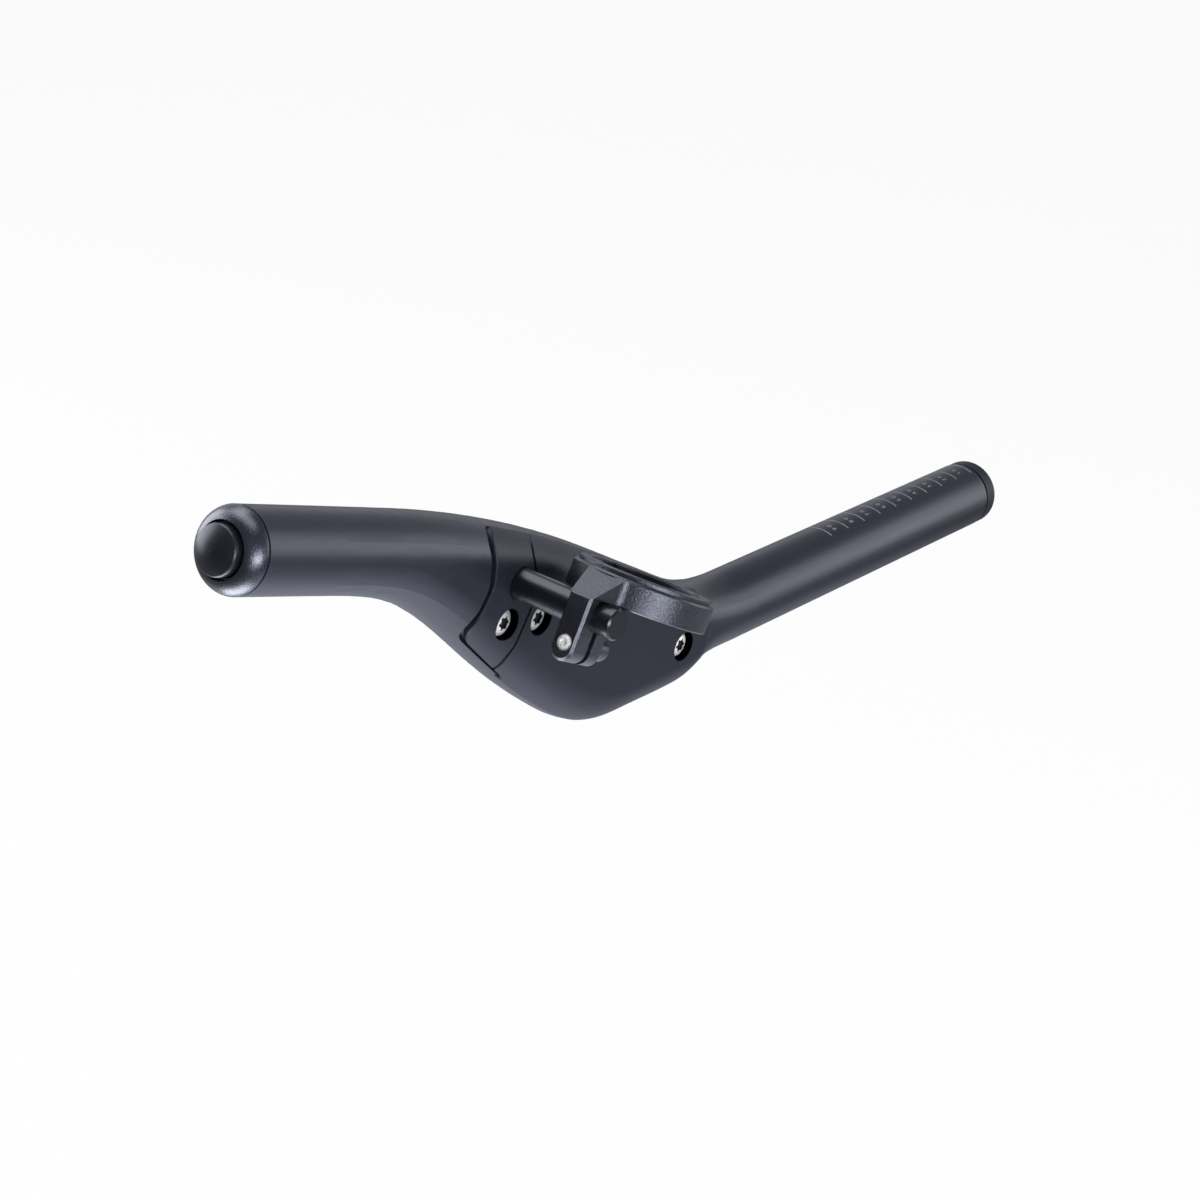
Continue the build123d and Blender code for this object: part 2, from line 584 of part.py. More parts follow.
def make_clip(plane):
    back = BOARD_TOP - BOARD_THICKNESS
    inner = CELL_RADIUS + BOARD_CLEARANCE
    outer = inner + CLIP_RIM
    clip = pin(plane, outer, back - CLIP_DEPTH, back)
    clip -= pin(plane, inner, back - CLIP_DEPTH, back - CLIP_THICKNESS)
    low = back - CLIP_DEPTH
    gaps = plane * Pos(0, 0, low) * Box(4, FAR, CLIP_DEPTH - CLIP_THICKNESS, align=BASE)
    gaps += plane * Pos(0, 0, low) * Box(FAR, 4, CLIP_DEPTH - CLIP_THICKNESS, align=BASE)
    return clip - gaps


def make_cell(plane):
    top = BOARD_TOP - BOARD_THICKNESS - CLIP_THICKNESS
    cell = pin(plane, CELL_RADIUS, top - CELL_HEIGHT, top - CELL_STEP)
    return cell + pin(plane, 0.86 * CELL_RADIUS, top - CELL_STEP, top)


def make_back_cap(plane):
    front = BOARD_TOP - BOARD_THICKNESS - CLIP_THICKNESS - CELL_HEIGHT
    back = -SPIGOT_LENGTH - BACK_CAP_FLANGE
    cap = pin(plane, BOARD_RADIUS, -SPIGOT_LENGTH, front)
    cap += pin(plane, BORE - 3 * SPIGOT_GAP, back, -SPIGOT_LENGTH)
    return cap - pin(plane, BOARD_RADIUS - 1.3, back, front - 1.5)


def make_rear_cap(plane):
    spigot = BORE - SPIGOT_GAP
    skirt = [(0, CAP_TOP), (0, CAP_TOP - 2), (CAP_HOLLOW_RADIUS, CAP_TOP - 4), (CAP_HOLLOW_RADIUS, -SPIGOT_LENGTH)]
    skirt += [(spigot, -SPIGOT_LENGTH)]
    for height in reversed(O_RING_PLACES):
        skirt += groove_points(height)
    neck, rise = CAP_GROOVE
    skirt += [(spigot, 0), (neck, 0), (neck, rise), (CAP_RADIUS - EDGE_BREAK, rise), (CAP_RADIUS, rise + EDGE_BREAK)]
    skirt += [(CAP_RADIUS, CAP_SIDE)]
    edge = ThreePointArc((CAP_RADIUS, CAP_SIDE), (CAP_RADIUS - 0.5, CAP_SIDE + 1.75), CAP_SHOULDER)
    return turned(plane, Polyline(*skirt), edge, dome(*CAP_SHOULDER, CAP_TOP))


def main():
    front_end = bar_plane(LENGTH)
    rear_end = Plane(origin=(0, 0, 0), x_dir=(0, 1, 0), z_dir=(-1, 0, 0))
    nodes = {"extension_body": make_body()}
    nodes["front_cover"], nodes["rear_cover"] = make_covers()
    for name, (x, z) in SCREW_PLACES.items():
        nodes[name + "_cover_screw"] = make_cover_screw(x, z)
        nodes[name + "_insert"] = make_insert(x, z)
    nodes["mount_rod"] = make_rod()
    nodes["rod_bolt"] = make_rod_bolt()
    nodes["mount_bracket"] = make_bracket()
    nodes["pinch_bolt"] = make_pinch_bolt()
    nodes["pinch_nut"] = make_pinch_nut()
    nodes["computer_socket"] = make_socket()
    for name, angle in SOCKET_SCREW_ANGLES.items():
        nodes["socket_screw_" + name] = make_socket_screw(angle)
    nodes["plug_body"] = make_plug(front_end)
    nodes["button"] = make_button(front_end)
    nodes["switch_plunger"] = pin(front_end, PLUNGER_RADIUS, PLUNGER_TOP - PLUNGER_LENGTH, PLUNGER_TOP)
    nodes["tact_switch"] = make_switch(front_end)
    nodes["circuit_board"] = pin(front_end, BOARD_RADIUS, BOARD_TOP - BOARD_THICKNESS, BOARD_TOP)
    nodes["battery_clip"] = make_clip(front_end)
    nodes["coin_cell"] = make_cell(front_end)
    nodes["plug_back_cap"] = make_back_cap(front_end)
    nodes["plug_o_ring_front"] = o_ring(front_end, O_RING_PLACES[0])
    nodes["plug_o_ring_rear"] = o_ring(front_end, O_RING_PLACES[1])
    nodes["rear_end_cap"] = make_rear_cap(rear_end)
    nodes["cap_o_ring_front"] = o_ring(rear_end, O_RING_PLACES[1])
    nodes["cap_o_ring_rear"] = o_ring(rear_end, O_RING_PLACES[0])
    os.makedirs("parts", exist_ok=True)
    for name, shape in nodes.items():
        export_step(shape, f"parts/{name}.step")
        print(name, len(shape.solids()), shape.is_valid, round(shape.volume, 1))


main()
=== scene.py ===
import math

import bmesh
import bpy
from mathutils import Euler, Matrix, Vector


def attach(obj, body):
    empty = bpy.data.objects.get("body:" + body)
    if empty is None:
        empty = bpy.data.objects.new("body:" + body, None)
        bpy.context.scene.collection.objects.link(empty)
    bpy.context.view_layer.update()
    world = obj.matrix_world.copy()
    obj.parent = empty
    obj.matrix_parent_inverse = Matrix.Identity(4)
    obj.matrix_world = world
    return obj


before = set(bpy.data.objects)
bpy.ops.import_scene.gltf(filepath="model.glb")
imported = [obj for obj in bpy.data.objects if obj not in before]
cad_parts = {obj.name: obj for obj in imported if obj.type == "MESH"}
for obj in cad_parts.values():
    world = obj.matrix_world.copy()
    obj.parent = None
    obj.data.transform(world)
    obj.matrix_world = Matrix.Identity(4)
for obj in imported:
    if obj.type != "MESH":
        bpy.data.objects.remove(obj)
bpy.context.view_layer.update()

bl_info = {
    "name": "Aero Handlebar Extension Finish",
    "version": (1, 0, 0),
    "blender": (4, 5, 0),
    "location": "View3D > Sidebar > Extension",
    "description": "Finishes, printed scale and studio for an aero handlebar extension",
    "category": "Object",
}

# Parts that the finishes and the print follow
TUBE_RADIUS = 0.0111
COVER_SCREWS = ("front_cover_screw", "upper_cover_screw", "rear_cover_screw")

# How the printed marks and numbers are drawn
MARK_STEPS = 16
NUMBER_STEP = 10
FONT_SIZE_PER_DIGIT = 1.4
NUMBER_SPACING = 1.6
NUMBER_CURVE_STEPS = 3

# Colour sockets of a Mix node
MIX_LOW, MIX_HIGH, MIX_RESULT = 6, 7, 2

BLACK = (0, 0, 0)
WHITE = (1, 1, 1, 1)

# Metallic share of the stainless screws, and how much of it their sockets lose under the painted shade
STEEL_METALLIC = 0.88
SOCKET_METALLIC_LOSS = 0.5

# Floor: white to the camera, dim to other rays, with a painted pool of bluish light under the part that its
# gloss mirrors
FLOOR_REACH = 30.0
FLOOR_WHITE = 0.94
FLOOR_DIM = 0.12
POOL_MIDDLE = (0.2, 0.12, 0.0)
POOL_LEVEL = 1.95
POOL_FADE = 2.8
POOL_LEAST = 0.12
POOL_TINT = (0.84, 0.89, 1, 1)

# Sky: pale low down and behind the part, dark overhead and ahead of its hand end
SKY_FRONT = (0.87, -0.48, 0.12)
SKY_FRONT_GAIN = 1.2
SKY_FRONT_START = 0.2
SKY_MIRRORED_WHITE = 0.06
SKY_STOPS = [(0.0, (0.96, 0.97, 1, 1)), (0.1, (0.92, 0.94, 1, 1)), (0.22, (0.31, 0.33, 0.36, 1)),
             (0.7, (0.13, 0.14, 0.16, 1)), (1.0, (0.03, 0.03, 0.04, 1))]

# Soft boxes: the point that each lights, the way to it from there, its distance, size and power
PART_MIDDLE = (0.2, 0.01, 0.03)
POD_SIDE = (0.2, 0.1, 0.0)
HAND_END = (0.365, 0.01, 0.045)
HAND_TIP = (0.43, 0.01, 0.0)
SOFT_BOXES = {
    "rear_box": dict(aim=PART_MIDDLE, toward=(-0.94, 0.73, 0.21), distance=1.2, size=(0.8, 0.8), watts=5.0),
    "side_box": dict(aim=PART_MIDDLE, toward=(0.5, 0.85, 0.11), distance=1.0, size=(0.66, 0.26), watts=6.2),
    "top_box": dict(aim=PART_MIDDLE, toward=(-0.1, -0.55, 0.82), distance=1.2, size=(1.1, 0.6), watts=4.7),
    "far_box": dict(aim=PART_MIDDLE, toward=(0.25, -0.95, 0.2), distance=1.4, size=(1.1, 1.1), watts=15.0),
    "hood_box": dict(aim=HAND_END, toward=(0.0, -0.1, 0.99), distance=0.9, size=(0.5, 0.8), watts=2.9),
    "low_box": dict(aim=POD_SIDE, toward=(0, 0, -1), distance=0.28, size=(0.25, 0.25), watts=0.1),
    "tip_box": dict(aim=HAND_TIP, toward=(0, 0, -1), distance=0.28, size=(0.22, 0.32), watts=1.5),
}

SENSOR_WIDTH = 36.0
CAMERA_CLIP = 0.01


class Shade:
    """A shader socket that takes part in arithmetic and makes further nodes in its tree."""

    def __init__(self, tree, socket=None):
        self.tree = tree
        self.socket = socket

    def make(self, kind, settings=None, sockets=None, out=0):
        node = self.tree.nodes.new(kind)
        for name, value in (settings or {}).items():
            if name == "stops":
                ramp = node.color_ramp.elements
                while len(ramp) < len(value):
                    ramp.new(0.5)
                for element, (position, colour) in zip(ramp, value):
                    element.position = position
                    element.color = colour
            else:
                setattr(node, name, value)
        for name, value in (sockets or {}).items():
            if isinstance(value, Shade):
                self.tree.links.new(value.socket, node.inputs[name])
            else:
                node.inputs[name].default_value = value
        return Shade(self.tree, node.outputs[out])

    def maths(self, operation, first, second):
        return self.make("ShaderNodeMath", {"operation": operation}, {0: first, 1: second})

    def __add__(self, other):
        return self.maths("ADD", self, other)

    def __radd__(self, other):
        return self.maths("ADD", other, self)

    def __sub__(self, other):
        return self.maths("SUBTRACT", self, other)

    def __rsub__(self, other):
        return self.maths("SUBTRACT", other, self)

    def __mul__(self, other):
        return self.maths("MULTIPLY", self, other)

    def __rmul__(self, other):
        return self.maths("MULTIPLY", other, self)

    def __gt__(self, other):
        return self.maths("GREATER_THAN", self, other)

    def __lt__(self, other):
        return self.maths("LESS_THAN", self, other)


def place(pen):
    """Object coordinates, which are the part's own frame in metres."""
    return pen.make("ShaderNodeTexCoord", out="Object")


def along(pen, axis, vector):
    """One coordinate of a vector."""
    return pen.make("ShaderNodeSeparateXYZ", {}, {"Vector": vector}, out=axis)


def stretched(pen, scale):
    """Object coordinates scaled by a different number along each axis."""
    return pen.make("ShaderNodeMapping", {"vector_type": "POINT"}, {"Vector": place(pen), "Scale": scale})


def grain(pen, scale, detail=2.0, rough=0.5, vector=None):
    """Noise of about 1 / scale metres."""
    return pen.make("ShaderNodeTexNoise", {"noise_dimensions": "3D"},
                    {"Vector": vector or place(pen), "Scale": scale, "Detail": detail, "Roughness": rough})


def blend(pen, amount, low, high):
    """Colour between low and high, each a colour or a socket."""
    low, high = (c if isinstance(c, Shade) else (*c, 1.0) for c in (low, high))
    return pen.make("ShaderNodeMix", {"data_type": "RGBA", "clamp_factor": True},
                    {"Factor": amount, MIX_LOW: low, MIX_HIGH: high}, out=MIX_RESULT)


def mixed(pen, amount, low, high):
    """Shader between two shaders."""
    return pen.make("ShaderNodeMixShader", {}, {0: amount, 1: low, 2: high})


def relief(pen, height, strength, distance):
    """Normal of a bumped surface."""
    return pen.make("ShaderNodeBump", {}, {"Height": height, "Strength": strength, "Distance": distance})


def reach_from(pen, screw):
    """Distance from the axis of a screw that stands along Y."""
    corners = [Vector(corner) for corner in screw.bound_box]
    axis = (corners[0] + corners[6]) / 2
    flat = pen.make("ShaderNodeVectorMath", {"operation": "MULTIPLY"}, {0: place(pen), 1: (1, 0, 1)})
    return pen.make("ShaderNodeVectorMath", {"operation": "DISTANCE"},
                    {0: flat, 1: (axis.x, 0, axis.z)}, out="Value")


def ray_kinds(pen):
    """Whether a ray comes from the camera, from gloss or through glass."""
    return [pen.make("ShaderNodeLightPath", out=kind)
            for kind in ("Is Camera Ray", "Is Glossy Ray", "Is Transmission Ray")]


def dimmed(colour, share):
    """Darker tone of a colour."""
    return [c * share for c in colour]


def new_material(name):
    """Fresh material with one Principled shader, and a pen to draw its nodes."""
    material = bpy.data.materials.new(name)
    material.use_nodes = True
    tree = material.node_tree
    shader = next(n for n in tree.nodes if n.type == "BSDF_PRINCIPLED")
    return material, shader, Shade(tree)


def cool_material(name, look):
    """Fresh material whose reflections take the cool tint of the black finishes."""
    material, shader, pen = new_material(name)
    shader.inputs["Specular Tint"].default_value = (*look.cool, 1.0)
    return material, shader, pen


def feed(pen, shader, values):
    """Sets or links the shader's sockets."""
    for name, value in values.items():
        if isinstance(value, Shade):
            pen.tree.links.new(value.socket, shader.inputs[name])
        else:
            shader.inputs[name].default_value = value


def dress(names, material):
    """Gives CAD nodes a material."""
    for name in names:
        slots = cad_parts[name].data.materials
        slots.clear()
        slots.append(material)


def colour_property(name, description, default):
    return bpy.props.FloatVectorProperty(name=name, description=description, default=default, size=3,
                                         min=0.0, max=1.0, subtype="COLOR")


def share_property(name, description, default):
    return bpy.props.FloatProperty(name=name, description=description, default=default,
                                   min=0.0, max=1.0, subtype="FACTOR")


def length_property(name, description, default):
    return bpy.props.FloatProperty(name=name, description=description, default=default,
                                   unit="LENGTH", subtype="DISTANCE")


def angle_property(name, description, degrees):
    return bpy.props.FloatProperty(name=name, description=description, default=math.radians(degrees),
                                   unit="ROTATION", subtype="ANGLE")


class ExtensionFinish(bpy.types.PropertyGroup):
    cool: colour_property("Cool tint", "Blue tint of the black finishes in reflected light", (0.78, 0.81, 1.0))
    body_dark: colour_property("Tube dark", "Darker tone of the satin coat", (0.01, 0.0112, 0.0175))
    body_light: colour_property("Tube light", "Lighter tone of the satin coat", (0.015, 0.0165, 0.025))
    body_roughness: share_property("Tube roughness", "Roughness of the satin coat", 0.4)
    cover_dark: colour_property("Cover dark", "Darker tone of the moulded covers", (0.0085, 0.0098, 0.016))
    cover_light: colour_property("Cover light", "Lighter tone of the moulded covers", (0.0135, 0.015, 0.023))
    cover_roughness: share_property("Cover roughness", "Roughness of the moulded covers", 0.46)
    cap_roughness: share_property("Cap roughness", "Roughness of the matte end cap", 0.58)
    # Painted shade: how far from a cover screw's axis its counterbore is painted black
    bore_shade_radius: length_property("Bore radius", "Reach of the dark counterbore round a cover screw", 0.00465)
    # Painted shade: width of the black paint in the groove before the end cap
    cap_groove_shade: length_property("Cap groove", "Width of the dark groove before the end cap", 0.00095)
    metal_black: colour_property("Anodised black", "Colour of the anodised bracket and rod",
                                 (0.007, 0.0074, 0.01))
    metal_roughness: share_property("Anodised roughness", "Roughness of the blasted bracket", 0.33)
    rod_roughness: share_property("Rod roughness", "Roughness of the turned rod", 0.28)
    steel: colour_property("Stainless", "Colour of the stainless screws", (0.97, 0.96, 0.95))
    steel_roughness: share_property("Stainless roughness", "Roughness of the screws", 0.66)
    # Painted shade: reach and depth of the near-black paint in the sockets of the cover screws
    socket_shade_radius: length_property("Socket radius", "Reach of the dark socket in a cover screw", 0.0023)
    socket_shade_lip: length_property("Socket lip", "Depth at which a cover screw's socket turns dark", 0.0003)
    plug_black: colour_property("Plug black", "Colour of the bar-end plug", (0.007, 0.0076, 0.0105))
    plug_roughness: share_property("Plug roughness", "Roughness of the bar-end plug", 0.28)
    button_roughness: share_property("Button roughness", "Roughness of the button", 0.37)


class ExtensionScale(bpy.types.PropertyGroup):
    ink: colour_property("Scale ink", "Colour of the printed scale", (0.34, 0.35, 0.39))
    first: length_property("First mark", "Distance of the first mark from the end of the tube", 0.002)
    pitch: length_property("Pitch", "Distance between marks", 0.01)
    width: length_property("Mark width", "Width of a printed mark", 0.00042)
    lift: length_property("Ink thickness", "Height of the ink above the tube", 0.00002)
    digit: length_property("Digit size", "Height of the printed numbers", 0.0019)
    count: bpy.props.IntProperty(name="Marks", description="Number of printed marks", default=10, min=1)
    inner_angle: angle_property("Inner angle", "Reach of a mark from the top to the inner side", 21)
    outer_angle: angle_property("Outer angle", "Reach of a mark from the top to the outer side", 33)
    digit_angle: angle_property("Number angle", "Turn of the numbers from the top to the inner side", 5.5)
    digit_step: length_property("Number step", "Distance from a mark to the middle of its number", 0.0055)


class ExtensionStage(bpy.types.PropertyGroup):
    floor_colour: colour_property("Floor", "Colour of the floor", (0.9, 0.9, 0.9))
    floor_height: length_property("Floor height", "Height of the floor in the part's frame", -0.3)
    camera_place: bpy.props.FloatVectorProperty(name="Camera place", description="Where the camera stands",
                                                default=(0.792947, 0.397465, 0.336069), size=3,
                                                unit="LENGTH", subtype="TRANSLATION")
    camera_turn: bpy.props.FloatVectorProperty(name="Camera turn", description="How the camera is turned",
                                               default=[math.radians(a) for a in (65.6767, -6.7763, 127.4558)],
                                               size=3, unit="ROTATION", subtype="EULER")
    lens: bpy.props.FloatProperty(name="Lens", description="Focal length on a 36 mm sensor", default=80.377,
                                  unit="CAMERA")
    sky: bpy.props.FloatProperty(name="Sky light", description="Strength of the even light all around",
                                 default=1.35)


class EXTENSION_OT_tube(bpy.types.Operator):
    """Satin blue-black coat of the bent tube and its pod"""
    bl_idname = "extension.tube"
    bl_label = "Finish the tube"

    def execute(self, context):
        look = context.scene.extension_finish
        material, shader, pen = cool_material("satin_tube", look)
        streak = grain(pen, 1.0, detail=3.0, rough=0.55, vector=stretched(pen, (30, 420, 420)))
        cloud = grain(pen, 45)
        fine = grain(pen, 4200, detail=1.0)
        feed(pen, shader, {
            "Base Color": blend(pen, streak * 0.6 + cloud * 0.4, look.body_dark, look.body_light),
            "Roughness": look.body_roughness + (streak - 0.5) * 0.1 + (fine - 0.5) * 0.06,
            "Normal": relief(pen, fine + streak * 0.6, strength=0.05, distance=0.0001),
            "IOR": 1.5,
        })
        dress(["extension_body"], material)
        return {"FINISHED"}


class EXTENSION_OT_covers(bpy.types.Operator):
    """Fine-grained moulding of the pod covers, the socket and the caps"""
    bl_idname = "extension.covers"
    bl_label = "Finish the covers"

    def execute(self, context):
        look = context.scene.extension_finish
        self.mould_covers(look)
        self.mould_cap(look)
        return {"FINISHED"}

    def mould_covers(self, look):
        """Moulded covers, with painted shade in the counterbores of their screws."""
        material, shader, pen = cool_material("moulded_cover", look)
        spark = grain(pen, 3600, rough=0.6)
        cloud = grain(pen, 60)
        tone = blend(pen, cloud * 0.7 + spark * 0.3, look.cover_dark, look.cover_light)
        front, upper, rear = (reach_from(pen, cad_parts[name]) for name in COVER_SCREWS)
        # Painted shade: black, fully metallic colour in the counterbores round the screws, where shade falls
        bore_shade = pen.maths("MINIMUM", pen.maths("MINIMUM", front, upper), rear) < look.bore_shade_radius
        feed(pen, shader, {
            "Base Color": blend(pen, bore_shade, tone, BLACK),
            "Metallic": bore_shade,
            "Roughness": look.cover_roughness + (spark - 0.5) * 0.12,
            "Normal": relief(pen, spark, strength=0.16, distance=0.0001),
            "IOR": 1.38,
        })
        dress(["front_cover", "rear_cover", "computer_socket", "plug_back_cap"], material)

    def mould_cap(self, look):
        """Matte end cap, with painted shade in the groove between it and the tube."""
        material, shader, pen = cool_material("matte_cap", look)
        spark = grain(pen, 2400, detail=3.0, rough=0.6)
        tone = blend(pen, spark, look.cover_dark, look.cover_light)
        # Painted shade: the groove next to the tube's end is painted black and fully metallic, where shade
        # falls
        groove = along(pen, "X", place(pen)) > -look.cap_groove_shade
        feed(pen, shader, {
            "Base Color": blend(pen, groove, tone, BLACK),
            "Metallic": groove,
            "Roughness": look.cap_roughness + (spark - 0.5) * 0.16,
            "Normal": relief(pen, spark, strength=0.2, distance=0.0001),
            "IOR": 1.42,
        })
        dress(["rear_end_cap"], material)


class EXTENSION_OT_bracket(bpy.types.Operator):
    """Blasted and black anodised bracket with its nut"""
    bl_idname = "extension.bracket"
    bl_label = "Finish the bracket"

    def execute(self, context):
        look = context.scene.extension_finish
        material, shader, pen = cool_material("blasted_anodised", look)
        blast = grain(pen, 1300, detail=3.0, rough=0.8)
        cloud = grain(pen, 120)
        feed(pen, shader, {
            "Base Color": blend(pen, cloud, dimmed(look.metal_black, 0.75), look.metal_black),
            "Roughness": look.metal_roughness + (blast - 0.5) * 0.3,
            "Normal": relief(pen, blast, strength=0.7, distance=0.0002),
            "IOR": 1.84,
        })
        dress(["mount_bracket", "pinch_nut"], material)
        return {"FINISHED"}


class EXTENSION_OT_rod(bpy.types.Operator):
    """Turned and black anodised rod"""
    bl_idname = "extension.rod"
    bl_label = "Finish the rod"

    def execute(self, context):
        look = context.scene.extension_finish
        material, shader, pen = cool_material("turned_anodised", look)
        lathe = grain(pen, 1.0, detail=3.0, rough=0.6, vector=stretched(pen, (60, 9000, 60)))
        cloud = grain(pen, 150)
        feed(pen, shader, {
            "Base Color": blend(pen, cloud * 0.6, dimmed(look.metal_black, 0.5), look.metal_black),
            "Roughness": look.rod_roughness + (lathe - 0.5) * 0.08,
            "Normal": relief(pen, lathe, strength=0.03, distance=0.00005),
            "IOR": 1.65,
        })
        dress(["mount_rod"], material)
        return {"FINISHED"}


class EXTENSION_OT_fasteners(bpy.types.Operator):
    """Satin stainless screws and bolts, with painted shade inside the sockets of the cover screws"""
    bl_idname = "extension.fasteners"
    bl_label = "Finish the screws"

    def execute(self, context):
        look = context.scene.extension_finish
        names = ["pinch_bolt", "rod_bolt", "socket_screw_left", "socket_screw_right", "socket_screw_rear"]
        dress(names, self.stainless(look, "satin_stainless"))
        for name in COVER_SCREWS:
            dress([name], self.stainless(look, name + "_steel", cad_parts[name]))
        return {"FINISHED"}

    def stainless(self, look, name, screw=None):
        """Satin steel, with painted shade in the socket where a screw is given."""
        material, shader, pen = new_material(name)
        smear = grain(pen, 1600, detail=3.0, rough=0.6)
        tone = blend(pen, smear, dimmed(look.steel, 0.8), look.steel)
        feed(pen, shader, {
            "Base Color": tone,
            "Metallic": STEEL_METALLIC,
            "Roughness": look.steel_roughness + (smear - 0.5) * 0.16,
            "Normal": relief(pen, smear, strength=0.06, distance=0.00005),
        })
        if screw:
            # Painted shade: near-black, less metallic colour in the socket, where shade falls
            socket_shade = self.socket_of(pen, look, screw)
            feed(pen, shader, {
                "Base Color": blend(pen, socket_shade, tone, (0.012, 0.012, 0.014)),
                "Metallic": STEEL_METALLIC - socket_shade * SOCKET_METALLIC_LOSS,
            })
        return material

    def socket_of(self, pen, look, screw):
        """Mask of the painted shade in the socket of a screw that stands along Y."""
        top = max(corner[1] for corner in screw.bound_box)
        height = along(pen, "Y", place(pen))
        return (reach_from(pen, screw) < look.socket_shade_radius) * (height < top - look.socket_shade_lip)


class EXTENSION_OT_plug(bpy.types.Operator):
    """Grained semi-gloss bar-end plug and its smooth button"""
    bl_idname = "extension.plug"
    bl_label = "Finish the plug and button"

    def execute(self, context):
        look = context.scene.extension_finish
        tone = dimmed(look.plug_black, 0.7)
        material, shader, pen = cool_material("plug_moulding", look)
        spark = grain(pen, 1900, detail=3.0, rough=0.75)
        feed(pen, shader, {
            "Base Color": blend(pen, spark, tone, look.plug_black),
            "Roughness": look.plug_roughness + (spark - 0.5) * 0.18,
            "Normal": relief(pen, spark, strength=0.28, distance=0.0002),
            "IOR": 1.93,
        })
        dress(["plug_body", "switch_plunger", "tact_switch"], material)
        material, shader, pen = cool_material("button_moulding", look)
        spark = grain(pen, 3000, rough=0.6)
        feed(pen, shader, {
            "Base Color": blend(pen, spark, tone, look.plug_black),
            "Roughness": look.button_roughness + (spark - 0.5) * 0.08,
            "Normal": relief(pen, spark, strength=0.05, distance=0.0001),
            "IOR": 1.6,
        })
        dress(["button"], material)
        return {"FINISHED"}


class EXTENSION_OT_inside(bpy.types.Operator):
    """Pieces inside the tube: inserts, board, cell, clip and rubber rings"""
    bl_idname = "extension.inside"
    bl_label = "Finish the inner pieces"

    def execute(self, context):
        material, shader, pen = new_material("turned_brass")
        lathe = grain(pen, 1.0, detail=3.0, rough=0.6, vector=stretched(pen, (900, 6000, 900)))
        feed(pen, shader, {
            "Base Color": blend(pen, lathe, (0.42, 0.26, 0.08), (0.62, 0.42, 0.16)),
            "Roughness": 0.26 + (lathe - 0.5) * 0.2,
            "Metallic": 1.0,
        })
        dress(["front_insert", "upper_insert", "rear_insert"], material)
        material, shader, pen = new_material("circuit_board")
        track = pen.make("ShaderNodeTexBrick", {"offset": 0.5},
                         {"Vector": stretched(pen, (900, 900, 900)), "Scale": 1.0, "Mortar Size": 0.06,
                          "Color1": (*BLACK, 1), "Color2": (*BLACK, 1), "Mortar": WHITE}, out="Fac")
        feed(pen, shader, {
            "Base Color": blend(pen, track, (0.008, 0.09, 0.035), (0.02, 0.2, 0.08)),
            "Roughness": 0.3 + track * 0.2,
        })
        dress(["circuit_board"], material)
        material, shader, pen = new_material("cell_steel")
        brushed = grain(pen, 1.0, detail=3.0, rough=0.6, vector=stretched(pen, (300, 5000, 300)))
        feed(pen, shader, {
            "Base Color": blend(pen, brushed, (0.5, 0.49, 0.47), (0.68, 0.67, 0.65)),
            "Roughness": 0.25 + (brushed - 0.5) * 0.2,
            "Metallic": 1.0,
        })
        dress(["coin_cell", "battery_clip"], material)
        material, shader, pen = new_material("ring_rubber")
        bloom = grain(pen, 700, detail=3.0)
        feed(pen, shader, {
            "Base Color": blend(pen, bloom, (0.006, 0.006, 0.006), (0.016, 0.016, 0.017)),
            "Roughness": 0.62 + (bloom - 0.5) * 0.2,
        })
        dress(["plug_o_ring_front", "plug_o_ring_rear", "cap_o_ring_front", "cap_o_ring_rear"], material)
        return {"FINISHED"}


